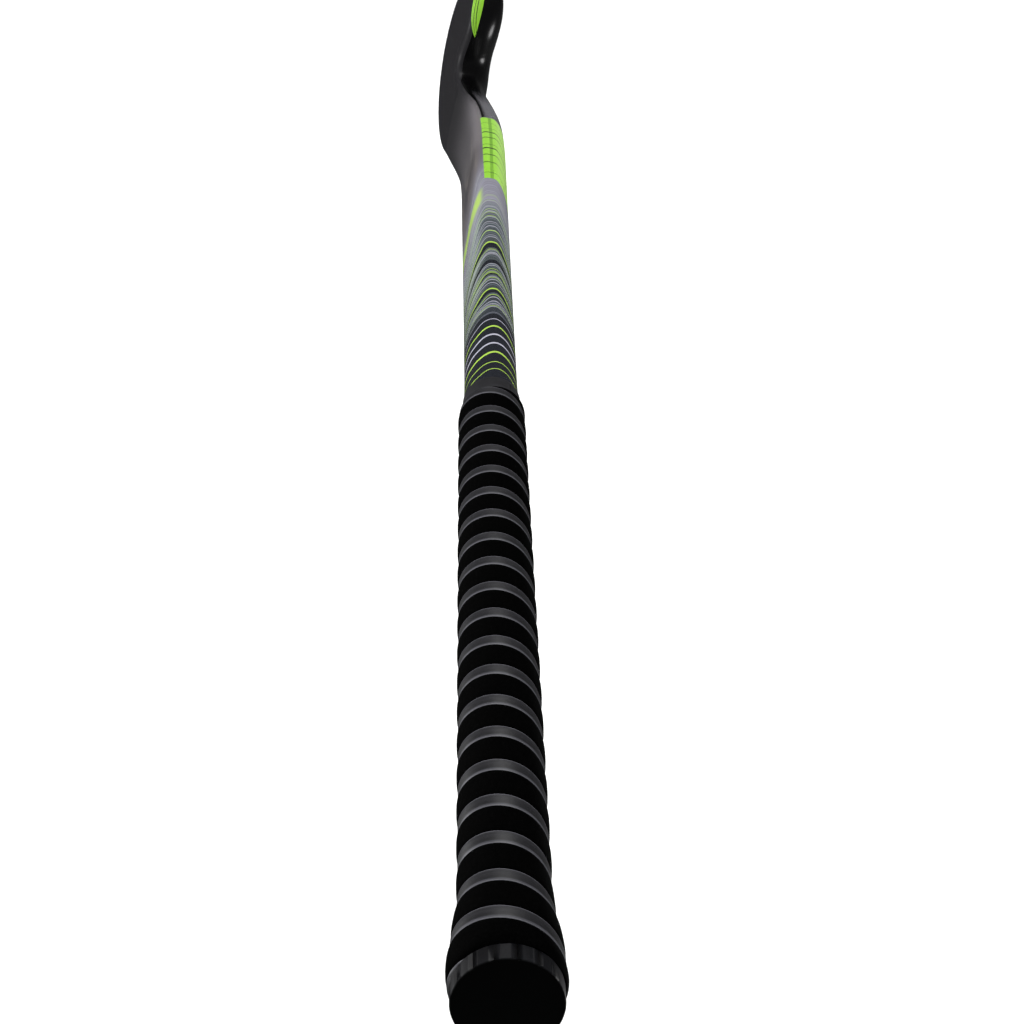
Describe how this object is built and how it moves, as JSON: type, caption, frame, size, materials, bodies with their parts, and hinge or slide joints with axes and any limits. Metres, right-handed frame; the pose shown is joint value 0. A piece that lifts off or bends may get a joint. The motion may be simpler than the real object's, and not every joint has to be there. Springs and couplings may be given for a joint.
{
  "type": "field hockey stick",
  "caption": "Right-handed field hockey stick with a hooked head, low bow, oval foam-filled laminate shaft, wound cushioned grip and ribbed end cap.",
  "frame": {"origin": "centre of the butt's end face, where the stick is held up by the hands", "axes": "+Z out of the butt along the straight part of the shaft, +X towards the toe, +Y the way the flat playing side faces"},
  "size_m": [0.1088, 0.0466, 0.9258],
  "materials": {
    "laminate": "clear-lacquered carbon and glass laminate, printed in lime, grey and navy",
    "inner_laminate": "raw laminate",
    "pu_foam": "cast rigid polyurethane foam",
    "tube_foam": "light expanding foam",
    "grained_face": "matte fine-grained coating",
    "plug_plastic": "moulded",
    "cap_rubber": "moulded, semi-gloss ribs",
    "collar_foam": "dense foam",
    "adhesive_film": "double-sided tape",
    "pu_grip": "cushioned polyurethane tape, matte",
    "vinyl_tape": "stretched vinyl tape"
  },
  "bodies": {
    "root": {"outer_shell": "laminate", "head_core": "pu_foam", "face_layer": "grained_face", "toe_side_tube": "inner_laminate", "toe_side_foam": "tube_foam", "heel_side_tube": "inner_laminate", "heel_side_foam": "tube_foam", "butt_plug": "plug_plastic", "end_cap": "cap_rubber", "flare_collar": "collar_foam", "adhesive_tape": "adhesive_film", "grip_tape": "pu_grip", "finishing_tape": "vinyl_tape"}
  },
  "joints": []
}
